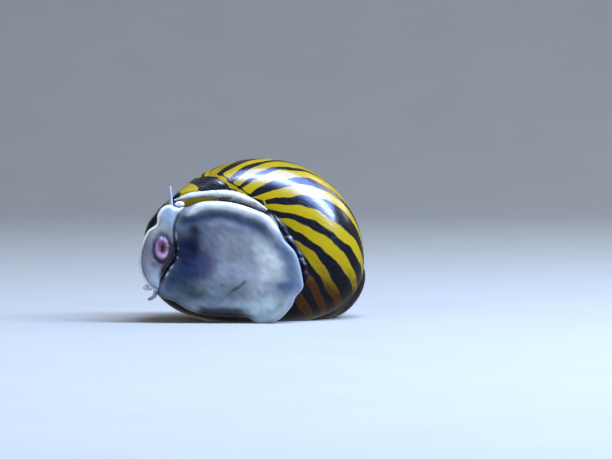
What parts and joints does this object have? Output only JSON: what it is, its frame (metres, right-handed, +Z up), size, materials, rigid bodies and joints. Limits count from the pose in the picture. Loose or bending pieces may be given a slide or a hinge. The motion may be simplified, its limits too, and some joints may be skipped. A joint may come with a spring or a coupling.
{
  "type": "nerite snail",
  "caption": "Striped nerite snail, life size, with its sole upright, its head turned to one side and a low coiled shell behind.",
  "frame": {"origin": "middle of the model's box at floor level", "axes": "+Z up; -Y is the way the sole faces; the head points to -X and the coiled end of the shell to +X"},
  "size_m": [0.026, 0.0176, 0.0188],
  "materials": {
    "shell": "glossy, yellow with near-black bands",
    "callus": "smooth white",
    "mantle": "wet, translucent grey-brown",
    "operculum": "satin maroon-brown",
    "flesh": "wet, blue-grey",
    "lips": "wet, pink",
    "eye": "glossy, blue-grey on white"
  },
  "bodies": {
    "root": {"shell_body_whorl": "shell", "shell_spire": "shell", "callus": "callus", "mantle_edge": "mantle", "operculum": "operculum", "foot": "flesh", "head": "flesh", "mouth_lips": "lips", "tentacle_left": "flesh", "tentacle_right": "flesh", "eye_left": "eye", "eye_right": "eye"}
  },
  "joints": []
}
